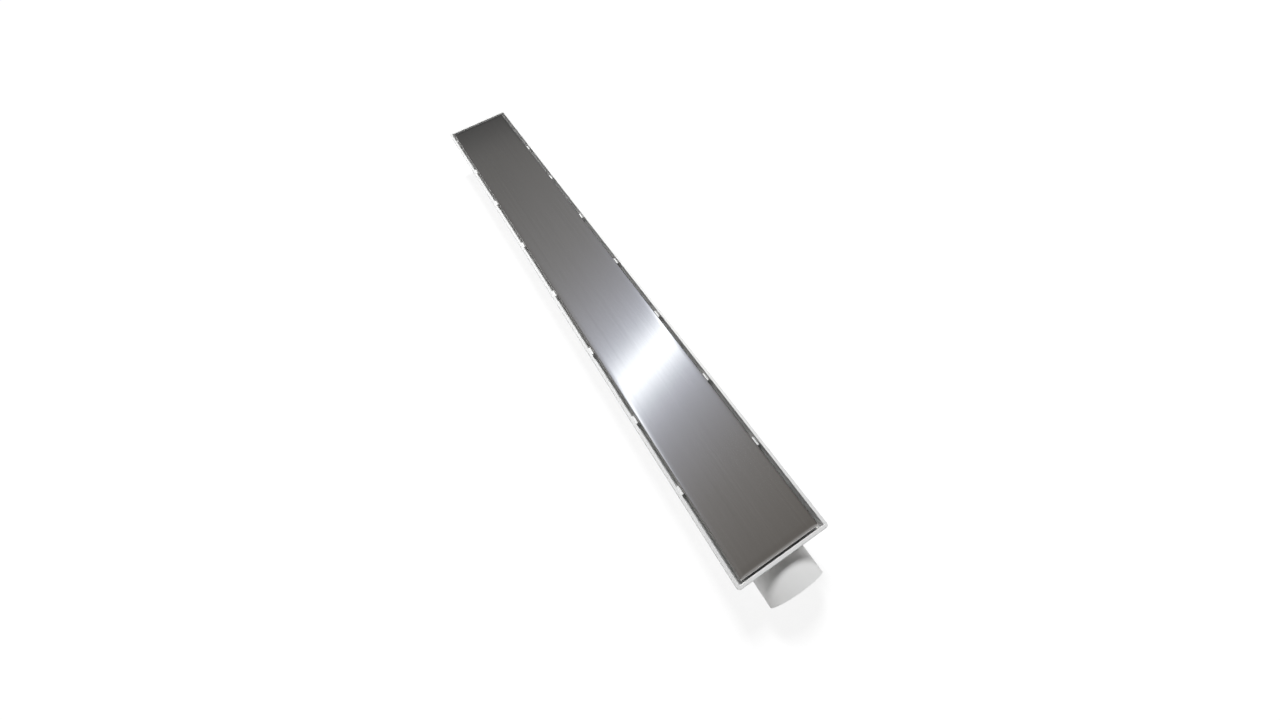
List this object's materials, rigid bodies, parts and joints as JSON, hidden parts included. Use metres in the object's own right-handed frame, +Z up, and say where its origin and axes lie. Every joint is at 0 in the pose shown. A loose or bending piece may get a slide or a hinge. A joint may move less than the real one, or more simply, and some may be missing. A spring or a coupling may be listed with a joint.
{
  "type": "channel drain",
  "caption": "Linear shower drain: plastic channel with a folded steel blind cover, a water slot round it, a lift-out water seal and strainer, and a round end outlet.",
  "frame": {"origin": "on the subfloor under the middle of the whole drain, outlet socket included", "axes": "+X along the channel to the outlet, +Y across it, +Z up"},
  "size_m": [0.7262, 0.09, 0.068],
  "materials": {
    "white_plastic": "smooth moulded, satin",
    "brushed_stainless": "satin, fine grain along the length",
    "grey_plastic": "smooth moulded, satin",
    "seal_rubber": "soft, matt"
  },
  "bodies": {
    "root": {"channel_body": "white_plastic", "cover_plate": "brushed_stainless", "trap_hood": "grey_plastic", "trap_seal": "seal_rubber", "strainer_plate": "grey_plastic"}
  },
  "joints": []
}
